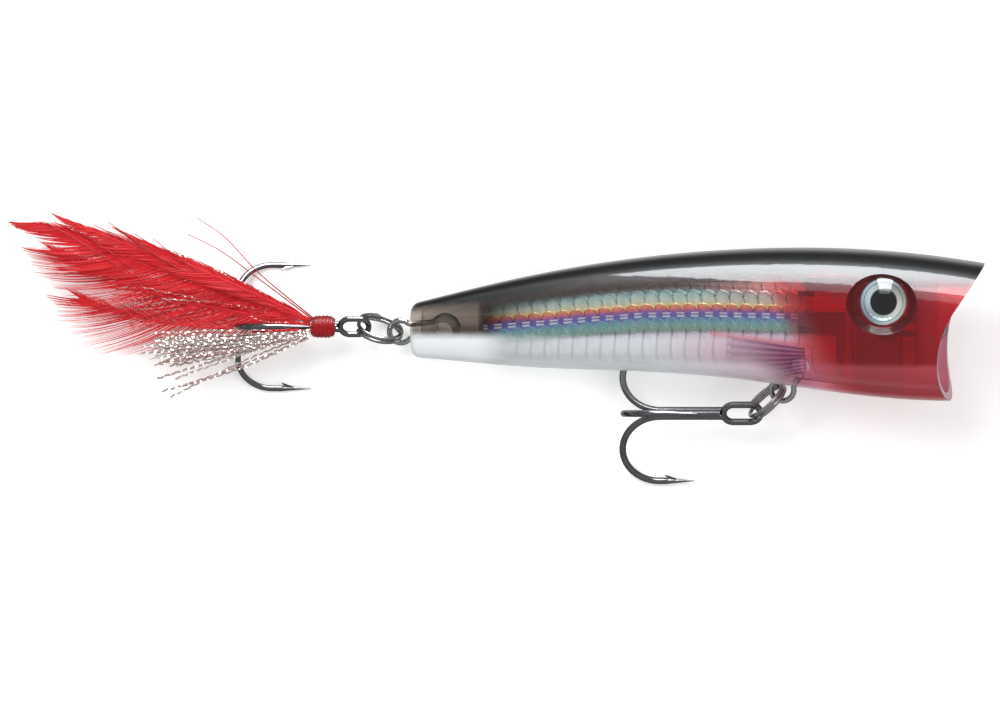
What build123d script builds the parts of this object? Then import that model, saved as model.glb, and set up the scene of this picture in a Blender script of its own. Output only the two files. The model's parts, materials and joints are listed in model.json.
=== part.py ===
from build123d import *
from functools import cache
from math import cos, pi, radians, sin
import os

# Topwater popper: a hollow two-part body with a cupped mouth, two wire-hung treble
# hooks on split rings, and a feathered tail treble.
#
# Lure axes: x from the tail face to the nose, y towards the back, z towards the
# right flank. The lure lies on its left flank on a table, so lie() turns it into
# table axes: X towards the nose, Y towards the back, Z up from the table top.

# ---------------------------------------------------------------- driving sizes
WALL = 1.0            # body shell
FIT = 0.02            # gap of a part that is clamped or glued in
SECTION_POWER = 2.35  # 2 is an ellipse, more is squarer
SECTION_POINTS = 16

ROLL = 12             # back turned up towards the viewer
PITCH = 7             # nose raised: the head is wider than the tail
TAIL_HEIGHT = 3.1     # tail face centre above the table

# x, y of the back, y of the belly, half width
STATIONS = [
    (0.0, 3.0, -3.6, 2.7),
    (11.5, 5.8, -4.55, 4.2),
    (23.5, 8.05, -5.1, 5.5),
    (38.3, 9.6, -5.95, 6.7),
    (53.2, 9.8, -7.9, 7.5),
    (66.5, 8.6, -8.9, 7.6),
    (76.0, 7.0, -8.9, 7.3),
]

SCOOP_RADIUS = 13.0
SCOOP_CENTRE = (78.6, -3.8)
SCOOP_TANGENT = 35.8  # slope of the straight upper lip, from upright
CUP_FLOOR = 62.6
CUP_ROUND = 3.0
TAIL_ROUND = 1.2

CAVITY = (1.4, 60.4)
HEAD_BLOCK_START = 55.4
HEAD_BLOCK_HALF_GAP = 3.9
RIBS = [8.6, 24.0, 40.0, 55.0]
RIB_THICKNESS = 0.8
RIB_RELIEF = 0.4
SPINE_HALF_WIDTH = 1.2

FOIL_SPAN = (9.2, 54.6)
FOIL_GAP = 0.05
FOIL_THICKNESS = 0.2
FOIL_EDGE = 1.35      # from the mid plane

EYE_CENTRE = (59.0, 4.35, 5.1)
EYE_TILT = 13
EYE_RADIUS = 2.9
EYE_DISC_THICKNESS = 0.25
EYE_DOME_HEIGHT = 1.35
EYE_LENS_RIM = 0.35    # straight edge under the lens's dome
SOCKET_RADIUS = 2.95
SOCKET_DEPTH = 6.0     # more than enough to reach the outside
SOCKET_FLARE_START = 0.5
SOCKET_FLARE_RADII = (3.2, 6.1)
SOCKET_FLARE_HEIGHT = 3.6

HANGER_WIRE = 0.7
LOOP_RADIUS = 1.4      # outer loop of a hanger, to the wire's centre
CLAMP_RADIUS = 1.55    # inner loop, round its post
NECK_HALF_WIDTH = 0.85
NECK_ROUND = 1.0
POST_RADIUS = 1.15
# outer loop centre, post centre (x, y in lure axes)
LINE_TIE = ((64.6, 0.0), (59.0, 0.2))
BELLY_HANGER = ((45.8, -7.75), (48.6, -3.7))
TAIL_HANGER = ((-1.38, -0.45), (4.2, 0.0))

BALLAST_RADIUS = 1.5
BALLAST_Y = -1.5
CASTING_BALL_RADIUS = 2.4
CASTING_BALL_PLACE = (27.4, -1.5)
RATTLE_BALL_RADIUS = 1.4
RATTLE_BALL_PLACE = (42.3, -3.9)

RING_WIRE = 0.5
RING_RADIUS = 2.7      # to the wire's centre
RING_PITCH = 0.53
RING_TURNS = 1.9

POINT_TAPER = 3.7
POINT_RADIUS = 0.05
BARB_HEIGHT = 0.4
BARB_THICKNESS = 0.24

# how each ring lies: its wire's place in the hanger's loop, the way to the hook's
# eye (degrees from +X in plan, and up from the table), and its other in-plane way
BELLY_RING = ((0.1, 0.15), (217.5, -20.5), (0.16, -0.2, 1))
TAIL_RING = ((-0.03, 0.08), (174, 19.5), (0, -0.45, 0.89))
BELLY_HOOK_PITCH = 0.5
TAIL_HOOK_PITCH = 0
# along the tail treble's shank, from the eye's pivot
WRAP_FRONT = -2.9
WRAP_BACK = -6.1
WRAP_RADIUS = 1.42
WRAP_END_RADIUS = 1.15
WRAP_BORE = 0.78

BLADE_THICKNESS = 0.3
# root and tip from the tie point, and the leaf's bulges to the belly and back sides
BLADES = {
    "upper_hackle": ((0, 0.95, 1.6), (-37.0, 12.9, 1.9), (3.8, 2.8)),
    "middle_hackle": ((0, 0.95, 1.15), (-33.5, 4.9, -0.9), (2.2, 2.6)),
    "lower_hackle": ((0, -1.05, 1.0), (-26.8, -3.3, -0.1), (2.2, 1.2)),
    "under_hackle": ((0, 0, -1.35), (-31.3, 1.4, -3.9), (2.3, 2.3)),
    "upper_flash": ((0, 0.8, 2.1), (-15.4, 11.2, 3.6), (0.7, 0.7)),
    "lower_flash": ((0, -1.35, 0.3), (-18.5, -7.1, -1.3), (1.0, 1.0)),
}

# ---------------------------------------------------------------- body surfaces


def lie(shape):
    """Lure axes to table axes."""
    return Pos(0, 0, TAIL_HEIGHT) * Rot(0, -PITCH, 0) * Rot(ROLL, 0, 0) * shape


def section(x, top, bottom, half_width, inset):
    """A closed superellipse across the body at x, shrunk by inset all round."""
    a = (top - bottom) / 2 - inset
    b = half_width - inset
    middle = (top + bottom) / 2
    points = []
    for i in range(SECTION_POINTS + 1):
        c, s = cos(2 * pi * i / SECTION_POINTS), sin(2 * pi * i / SECTION_POINTS)
        r = (abs(c) ** SECTION_POWER + abs(s) ** SECTION_POWER) ** (-1 / SECTION_POWER)
        points.append((x, middle + a * r * c, b * r * s))
    steps = [i / SECTION_POINTS for i in range(SECTION_POINTS + 1)]
    return make_face(Edge.make_spline(points[:-1], periodic=True, parameters=steps))


@cache
def body_loft(inset=0.0):
    """The body's outside without its mouth, shrunk by inset."""
    return loft([section(*station, inset) for station in STATIONS])


def slab(x_low, x_high, half_width=20.0):
    """Everything between two x values, and within half_width of the mid plane."""
    return Pos((x_low + x_high) / 2, 0, 0) * Box(x_high - x_low, 60, 2 * half_width)


def scoop():
    """The space in front of the mouth: a straight upper lip over a round hollow."""
    cx, cy = SCOOP_CENTRE
    arc = CenterArc(SCOOP_CENTRE, SCOOP_RADIUS, 180 - SCOOP_TANGENT, 90)
    start, end = arc @ 0, arc @ 1
    rise = 14
    upper = start + Vector(sin(radians(SCOOP_TANGENT)), cos(radians(SCOOP_TANGENT))) * rise
    outline = arc + Polyline(end, (cx + 20, end.Y), (cx + 20, upper.Y), upper, start)
    return extrude(make_face(outline), 20, both=True)


def cup():
    """The hollow inside the mouth's rim."""
    hollow = body_loft(WALL) & slab(CUP_FLOOR, 75)
    floor_edges = hollow.faces().sort_by(Axis.X)[0].edges()
    return fillet(floor_edges, CUP_ROUND)


def outer_body():
    body = body_loft() & slab(0, 75)
    body = fillet(body.faces().sort_by(Axis.X)[0].edges(), TAIL_ROUND)
    return body - scoop() - cup()


def cavity():
    """The air space, with the ribs, posts and head block left standing in it."""
    inner = body_loft(WALL)
    core = body_loft(WALL + RIB_RELIEF)
    space = inner & slab(*CAVITY)
    for x in RIBS:
        rib = slab(x, x + RIB_THICKNESS)
        space -= core & rib
        space -= inner & rib & slab(x, x + RIB_THICKNESS, SPINE_HALF_WIDTH)
    block = slab(HEAD_BLOCK_START, 61)
    space -= block - slab(HEAD_BLOCK_START, 61, HEAD_BLOCK_HALF_GAP)
    for _, post in (LINE_TIE, BELLY_HANGER, TAIL_HANGER):
        space -= Pos(*post, 0) * Cylinder(POST_RADIUS, 40)
    return space


# ---------------------------------------------------------------- eyes and foil


def eye_plane(side):
    x, y, z = EYE_CENTRE
    tilt = radians(EYE_TILT)
    return Plane(origin=(x, y, side * z), x_dir=(1, 0, 0), z_dir=(0, sin(tilt), side * cos(tilt)))


def socket(side):
    up = (Align.CENTER, Align.CENTER, Align.MIN)
    hole = Cylinder(SOCKET_RADIUS, SOCKET_DEPTH, align=up)
    flare = Cone(*SOCKET_FLARE_RADII, SOCKET_FLARE_HEIGHT, align=up)
    return eye_plane(side) * (hole + Pos(0, 0, SOCKET_FLARE_START) * flare)


def eye_disc(side):
    disc = Cylinder(EYE_RADIUS, EYE_DISC_THICKNESS, align=(Align.CENTER, Align.CENTER, Align.MIN))
    return eye_plane(side) * Pos(0, 0, FIT) * disc


def eye_lens(side):
    """A clear cap on the disc: a short rim under a ball segment."""
    rise = EYE_DOME_HEIGHT - EYE_LENS_RIM
    ball_radius = (EYE_RADIUS**2 + rise**2) / (2 * rise)
    up = (Align.CENTER, Align.CENTER, Align.MIN)
    cap = Pos(0, 0, EYE_DOME_HEIGHT - ball_radius) * Sphere(ball_radius)
    cap &= Cylinder(EYE_RADIUS, EYE_DOME_HEIGHT + 1, align=up)
    return eye_plane(side) * Pos(0, 0, 2 * FIT + EYE_DISC_THICKNESS) * cap


def foil(side):
    skin = body_loft(WALL + FOIL_GAP) - body_loft(WALL + FOIL_GAP + FOIL_THICKNESS)
    skin &= slab(*FOIL_SPAN)
    skin -= Pos(*BELLY_HANGER[1], 0) * Cylinder(POST_RADIUS + 0.1, 40)
    return skin & Pos(30, 0, side * (FOIL_EDGE + 10)) * Box(80, 40, 20)


# ---------------------------------------------------------------- wire parts


def wire_along(path, diameter):
    profile = Plane(origin=path @ 0, z_dir=path % 0) * Circle(diameter / 2)
    return sweep(profile, path=path)


def hanger(ends, diameter=HANGER_WIRE):
    """A closed figure-eight of wire in the mid plane: its big loop holds a ring
    or the line, and its other loop sits round a post."""
    (x1, y1), (x2, y2) = ends
    along = Vector(x2 - x1, y2 - y1)
    plane = Plane(origin=(x1, y1, 0), x_dir=(along.X, along.Y, 0), z_dir=(0, 0, 1))
    length = along.length
    outline = Circle(LOOP_RADIUS) + Pos(length, 0) * Circle(CLAMP_RADIUS)
    outline += Pos(length / 2, 0) * Rectangle(length, 2 * NECK_HALF_WIDTH)
    outline = fillet(outline.vertices(), NECK_ROUND)
    path = (plane * outline).face().outer_wire()
    return wire_along(path, diameter)


def ring_ends(loop, lie_of_ring):
    """Where a ring's wire goes through the loop at one end and the eye at the other."""
    (along, across), (heading, rise), _ = lie_of_ring
    near = loop + Vector(along, across, 0)
    flat = cos(radians(rise))
    way = Vector(
        cos(radians(heading)) * flat,
        sin(radians(heading)) * flat,
        sin(radians(rise)),
    )
    return near, near + way * 2 * RING_RADIUS


def split_ring(first, second, side):
    """A two-turn ring through two points, with its plane along side."""
    middle = (first + second) / 2
    along = (second - first).normalized()
    normal = along.cross(side).normalized()
    height = RING_PITCH * RING_TURNS
    plane = Plane(origin=middle - normal * height / 2, x_dir=along, z_dir=normal)
    path = plane * Helix(RING_PITCH, height, RING_RADIUS)
    return wire_along(path, RING_WIRE)


class Treble:
    """A treble hook in its own axes: the eye's pivot at the origin, the shank
    along -X, and the three legs round it at 90, 210 and 330 degrees in YZ."""

    def __init__(self, wire, length, reach, point, eye_length, eye_hole, eye_tilt):
        self.wire = wire
        self.length = length          # pivot to the back of the bend
        self.reach = reach            # shank axis to the point's side of the bend
        self.point = point            # back of the bend to the point
        self.eye_length = eye_length  # centre to centre of the eye's two ends
        self.eye_hole = eye_hole      # half the hole's width
        self.eye_tilt = eye_tilt
        self.shank = 0.54 * wire      # shank axis to each wire's centre

    def leg(self, azimuth, shank_end):
        """One bent wire with its point and barb, its shank ending at shank_end."""
        out = Vector(0, cos(radians(azimuth)), sin(radians(azimuth)))
        plane = Plane(origin=(0, 0, 0), x_dir=(1, 0, 0), z_dir=Vector(1, 0, 0).cross(out))
        bend = (self.reach - self.shank) / 2
        back = -self.length
        straight_end = back + self.point - POINT_TAPER
        shank = Line((shank_end, self.shank), (back + bend, self.shank))
        turn = ThreePointArc(
            (back + bend, self.shank),
            (back, self.shank + bend),
            (back + bend, self.reach),
        )
        run = Line((back + bend, self.reach), (straight_end, self.reach))
        path = plane * (shank + turn + run)
        standing = (Align.CENTER, Align.CENTER, Align.MIN)
        cone = Cone(self.wire / 2, POINT_RADIUS, POINT_TAPER, align=standing)
        cone = Plane(origin=path @ 1, z_dir=path % 1) * cone
        inner = self.reach - self.wire / 2
        barb = Polyline(
            (straight_end + 0.55 * POINT_TAPER, inner + 0.35),
            (straight_end + 0.02 * POINT_TAPER, inner - BARB_HEIGHT),
            (straight_end + 0.2 * POINT_TAPER, inner + 0.3),
            close=True,
        )
        barb = plane * extrude(make_face(barb), BARB_THICKNESS / 2, both=True)
        return wire_along(path, self.wire) + cone + barb

    def eye(self):
        plane = Plane(
            origin=(-self.eye_length / 2, 0, 0),
            x_dir=(1, 0, 0),
            z_dir=(0, -sin(radians(self.eye_tilt)), cos(radians(self.eye_tilt))),
        )
        radius = self.eye_hole + self.wire / 2
        outline = SlotCenterToCenter(self.eye_length, 2 * radius)
        return wire_along((plane * outline).face().outer_wire(), self.wire)

    def shank_end(self):
        return -self.eye_length - self.eye_hole - 0.35 * self.wire

    def double(self):
        end = self.shank_end()
        return self.leg(330, end) + self.leg(210, end) + self.eye()

    def single(self):
        leg = self.leg(90, self.shank_end() - 0.6)
        return leg - self.leg(330, self.shank_end()) - self.leg(210, self.shank_end())


# ---------------------------------------------------------------- feathers


def thread_wrap():
    """The barrel of thread that ties the feathers to the tail treble's shank."""
    length = WRAP_FRONT - WRAP_BACK
    half = Polyline((WRAP_FRONT, WRAP_BORE), (WRAP_BACK, WRAP_BORE), (WRAP_BACK, WRAP_END_RADIUS))
    crown = ThreePointArc(
        (WRAP_BACK, WRAP_END_RADIUS),
        (WRAP_BACK + length / 2, WRAP_RADIUS),
        (WRAP_FRONT, WRAP_END_RADIUS),
    )
    close = Line((WRAP_FRONT, WRAP_END_RADIUS), (WRAP_FRONT, WRAP_BORE))
    return revolve(make_face(half + crown + close), Axis.X)


def blade(root, tip, bulge_left, bulge_right):
    """A flat leaf from root to tip; the bulges are to the two sides of its line."""
    along = tip - root
    across = Vector(0, 0, 1).cross(along).normalized()
    normal = along.cross(across)
    plane = Plane(origin=root, x_dir=along, z_dir=normal)
    length = along.length
    left = ThreePointArc((0, 0), (length * 0.55, bulge_left), (length, 0))
    right = ThreePointArc((length, 0), (length * 0.55, -bulge_right), (0, 0))
    return extrude(plane * make_face(left + right), BLADE_THICKNESS / 2, both=True)


# ---------------------------------------------------------------- assembly

nodes = {}

# body halves
air = cavity()
solid_body = outer_body() - air
grooves = hanger(LINE_TIE, HANGER_WIRE + 2 * FIT)
grooves += hanger(BELLY_HANGER, HANGER_WIRE + 2 * FIT)
grooves += hanger(TAIL_HANGER, HANGER_WIRE + 2 * FIT)

for name, side in (("right", 1), ("left", -1)):
    half = Pos(36, 0, side * 10) * Box(90, 40, 20)
    shell = (solid_body & half) - grooves - socket(side)
    nodes[name + "_body_shell"] = lie(shell)
    nodes[name + "_foil"] = lie(foil(side))
    nodes[name + "_eye_disc"] = lie(eye_disc(side))
    nodes[name + "_eye_lens"] = lie(eye_lens(side))

nodes["line_tie"] = lie(hanger(LINE_TIE))
nodes["belly_hanger"] = lie(hanger(BELLY_HANGER))
nodes["tail_hanger"] = lie(hanger(TAIL_HANGER))

# weights inside
ballast_start = RIBS[0] + RIB_THICKNESS + FIT
ballast_end = RIBS[1] - FIT
slug = Cylinder(BALLAST_RADIUS, ballast_end - ballast_start, rotation=(0, 90, 0))
slug = Pos((ballast_start + ballast_end) / 2, BALLAST_Y, 0) * slug
nodes["tail_ballast"] = lie(slug)
nodes["casting_weight_ball"] = lie(Pos(*CASTING_BALL_PLACE, 0) * Sphere(CASTING_BALL_RADIUS))
nodes["rattle_ball"] = lie(Pos(*RATTLE_BALL_PLACE, 0) * Sphere(RATTLE_BALL_RADIUS))

# belly hook: the loop, the ring through it, and the treble on the ring
belly_loop = lie(Pos(*BELLY_HANGER[0], 0) * Sphere(0.1)).center()
belly_ring_near, belly_eye = ring_ends(belly_loop, BELLY_RING)
nodes["belly_split_ring"] = split_ring(belly_ring_near, belly_eye, Vector(*BELLY_RING[2]))

belly_treble = Treble(
    wire=0.84, length=15.7, reach=9.65, point=8.9, eye_length=2.1, eye_hole=0.82, eye_tilt=32
)
belly_place = Pos(*belly_eye) * Rot(0, BELLY_HOOK_PITCH, 0)
nodes["belly_treble_double"] = belly_place * belly_treble.double()
nodes["belly_treble_single"] = belly_place * belly_treble.single()

# tail hook: the same, with a thread wrap, feathers and flash tied to its shank
tail_loop = lie(Pos(*TAIL_HANGER[0], 0) * Sphere(0.1)).center()
tail_ring_near, tail_eye = ring_ends(tail_loop, TAIL_RING)
nodes["tail_split_ring"] = split_ring(tail_ring_near, tail_eye, Vector(*TAIL_RING[2]))

tail_treble = Treble(
    wire=0.72, length=15.0, reach=8.8, point=9.0, eye_length=1.2, eye_hole=0.8, eye_tilt=35
)
tail_place = Pos(*tail_eye) * Rot(0, TAIL_HOOK_PITCH, 0)
nodes["tail_treble_double"] = tail_place * tail_treble.double()
nodes["tail_treble_single"] = tail_place * tail_treble.single()
nodes["thread_wrap"] = tail_place * thread_wrap()

tie_point = (tail_place * Pos(WRAP_BACK - 0.1, 0, 0)).position
for name, (root, tip, bulges) in BLADES.items():
    leaf = blade(tie_point + Vector(*root), tie_point + Vector(*tip), *bulges)
    nodes[name] = leaf

# origin: under the middle of the whole lure, on the table top
boxes = [shape.bounding_box() for shape in nodes.values()]
low = [min(tuple(box.min)[i] for box in boxes) for i in range(3)]
high = [max(tuple(box.max)[i] for box in boxes) for i in range(3)]
to_origin = Vector(-(low[0] + high[0]) / 2, -(low[1] + high[1]) / 2, -low[2])

os.makedirs("parts", exist_ok=True)
for name, shape in nodes.items():
    print(name, shape.is_valid, round(shape.volume, 3), len(shape.solids()))
    export_step(Pos(*to_origin) * shape, f"parts/{name}.step")

# what the joints and mounts are measured from, in table axes from the origin
line_loop = lie(Pos(*LINE_TIE[0], 0) * Sphere(0.1)).center()
marks = {
    "line tie": line_loop,
    "belly loop": belly_loop,
    "belly eye": belly_eye,
    "tail loop": tail_loop,
    "tail eye": tail_eye,
}
for name, mark in marks.items():
    print(name, mark + to_origin)
print("extent", [round(b - a, 3) for a, b in zip(low, high)])
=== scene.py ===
import json
import random
from math import atan2, cos, pi, radians, sin

import bpy
import numpy as np
from mathutils import Matrix, Vector
from mathutils.bvhtree import BVHTree


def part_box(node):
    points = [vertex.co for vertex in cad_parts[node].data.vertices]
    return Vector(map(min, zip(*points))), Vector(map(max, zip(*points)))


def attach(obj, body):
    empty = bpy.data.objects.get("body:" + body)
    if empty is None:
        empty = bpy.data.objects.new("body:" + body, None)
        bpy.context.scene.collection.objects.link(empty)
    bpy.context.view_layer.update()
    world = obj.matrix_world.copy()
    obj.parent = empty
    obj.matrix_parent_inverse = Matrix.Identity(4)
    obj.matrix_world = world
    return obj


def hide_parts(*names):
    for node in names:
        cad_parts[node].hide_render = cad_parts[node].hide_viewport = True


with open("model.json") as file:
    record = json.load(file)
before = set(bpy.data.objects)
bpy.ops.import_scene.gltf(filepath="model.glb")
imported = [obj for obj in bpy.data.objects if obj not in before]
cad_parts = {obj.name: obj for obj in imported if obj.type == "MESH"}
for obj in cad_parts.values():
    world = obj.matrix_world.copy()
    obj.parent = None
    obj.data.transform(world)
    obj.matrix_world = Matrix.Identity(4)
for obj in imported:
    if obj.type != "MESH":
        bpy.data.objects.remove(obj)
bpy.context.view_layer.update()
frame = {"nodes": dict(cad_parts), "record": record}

# A topwater popper on a pale table, lying on its left flank. Pieces are worked out in
# millimetres, some in row axes and some in lure axes: x from the tail face to the nose,
# y towards the back and z towards the right flank.

MM = 0.001

# places of two mounts in lure axes, which tie those axes to the row's
NOSE_LOOP = (64.6, 0.0)
TAIL_LOOP = (-1.38, -0.45)

# ---------------- axes


def lure_axes():
    """A matrix from lure axes in mm to row axes in metres."""
    mounts = {mount["name"]: mount for mount in frame["record"]["mounts"]}
    nose = Vector(mounts["line_tie_loop"]["pos_m"])
    tail = Vector(mounts["tail_hook_loop"]["pos_m"])
    z_axis = Vector(mounts["line_tie_loop"]["axis"]).normalized()
    along = nose - tail
    along = (along - z_axis * along.dot(z_axis)).normalized()
    turn = atan2(NOSE_LOOP[1] - TAIL_LOOP[1], NOSE_LOOP[0] - TAIL_LOOP[0])
    x_axis = cos(turn) * along - sin(turn) * z_axis.cross(along)
    y_axis = z_axis.cross(x_axis)
    axes = Matrix((x_axis, y_axis, z_axis)).transposed() * MM
    origin = nose - axes @ Vector((*NOSE_LOOP, 0.0))
    return Matrix.Translation(origin) @ axes.to_4x4()


LURE = lure_axes()
LURE_INVERSE = LURE.inverted()
LURE_SPIN = (LURE_INVERSE.to_3x3() * MM).to_euler("XYZ")
EYE_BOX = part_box("right_eye_disc")
EYE_SPOT = LURE_INVERSE @ ((Vector(EYE_BOX[0]) + Vector(EYE_BOX[1])) / 2)

# ---------------- mesh helpers


def add_object(name, data):
    made = bpy.data.objects.new(name, data)
    bpy.context.scene.collection.objects.link(made)
    return made


def add_mesh(name, points, faces, material):
    mesh = bpy.data.meshes.new(name)
    mesh.from_pydata(points, [], faces)
    mesh.materials.append(material)
    return add_object(name, mesh)


def make_piece(name, points, faces, body, slot, to_row=None):
    """A mesh piece from points in mm, in row axes or in the axes that to_row maps."""
    matrix = np.array(to_row or Matrix.Scale(MM, 4))
    points = np.asarray(points, float) @ matrix[:3, :3].T + matrix[:3, 3]
    piece = add_mesh(name, points.tolist(), faces, MATERIALS[slot])
    piece.data.polygons.foreach_set("use_smooth", [True] * len(faces))
    piece.data.update()
    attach(piece, body)
    return piece


def grid_faces(rows, columns, wrap=False):
    """Quads over a grid of points held row by row; wrap joins the last column to the first."""
    faces = []
    for i in range(rows - 1):
        for j in range(columns if wrap else columns - 1):
            k = (j + 1) % columns
            a, b = i * columns, (i + 1) * columns
            faces.append((a + j, a + k, b + k, b + j))
    return faces


def curve_through(points, count):
    """Evenly spaced parameters along a Catmull-Rom curve through a few points."""
    points = [np.array(p, float) for p in points]
    points = [2 * points[0] - points[1], *points, 2 * points[-1] - points[-2]]
    spans = len(points) - 3
    made = []
    for i in range(count):
        t = i / (count - 1) * spans
        k = min(int(t), spans - 1)
        t -= k
        a, b, c, d = points[k : k + 4]
        square, cube = 2 * a - 5 * b + 4 * c - d, 3 * b - 3 * c + d - a
        made.append(0.5 * (2 * b + (c - a) * t + square * t**2 + cube * t**3))
    return np.array(made)


def directions(path):
    """Unit tangents along a path."""
    steps = np.gradient(path, axis=0)
    return steps / np.linalg.norm(steps, axis=1)[:, None]


def tube(path, radius, sides):
    """Points and faces of a tube; radius is a number or one for each point of the path."""
    path = np.asarray(path, float)
    tangents = directions(path)
    radii = np.broadcast_to(radius, len(path))
    side = np.cross(tangents[0], (0.31, 0.17, 0.94))
    points = []
    for centre, along, r in zip(path, tangents, radii):
        side = side - along * side.dot(along)
        side /= np.linalg.norm(side)
        other = np.cross(along, side)
        for j in range(sides):
            angle = 2 * pi * j / sides
            points.append(centre + r * (cos(angle) * side + sin(angle) * other))
    faces = grid_faces(len(path), sides, wrap=True)
    faces.append(tuple(reversed(range(sides))))
    faces.append(tuple(range(len(points) - sides, len(points))))
    return points, faces


def ribbon(path, widths, normals):
    """Points and faces of a thin strip that is flat across each normal."""
    across = np.cross(directions(path), normals)
    across /= np.linalg.norm(across, axis=1)[:, None]
    half = across * np.asarray(widths)[:, None] / 2
    points = np.stack([path - half, path + half], axis=1).reshape(-1, 3)
    return points, grid_faces(len(path), 2)


class Strands:
    """Tubes and ribbons gathered into one mesh on the tail treble, each with its shade."""

    def __init__(self):
        self.points = []
        self.faces = []
        self.shades = []

    def add(self, made, shade):
        points, faces = made
        start = len(self.points)
        self.points.extend(points)
        self.faces.extend(tuple(start + corner for corner in face) for face in faces)
        self.shades.extend([shade] * len(points))

    def piece(self, name, slot):
        piece = make_piece(name, self.points, self.faces, "tail_treble", slot)
        put_values(piece, "shade", self.shades)
        return piece


def put_values(piece, name, values):
    attribute = piece.data.attributes.new(name, "FLOAT", "POINT")
    attribute.data.foreach_set("value", np.asarray(values, np.float32))


def put_colours(piece, name, colours):
    attribute = piece.data.color_attributes.new(name, "FLOAT_COLOR", "POINT")
    four = np.ones((len(colours), 4), np.float32)
    four[:, :3] = colours
    attribute.data.foreach_set("color", four.ravel())


# ---------------- materials


def linear(red, green, blue):
    """Display colour from 0 to 255 to a linear RGBA colour."""
    parts = [c / 255 for c in (red, green, blue)]
    return (*[p / 12.92 if p <= 0.04045 else ((p + 0.055) / 1.055) ** 2.4 for p in parts], 1.0)


def rgb(red, green, blue):
    """Display colour from 0 to 255 to a linear RGB array."""
    return np.array(linear(red, green, blue)[:3])


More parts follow.
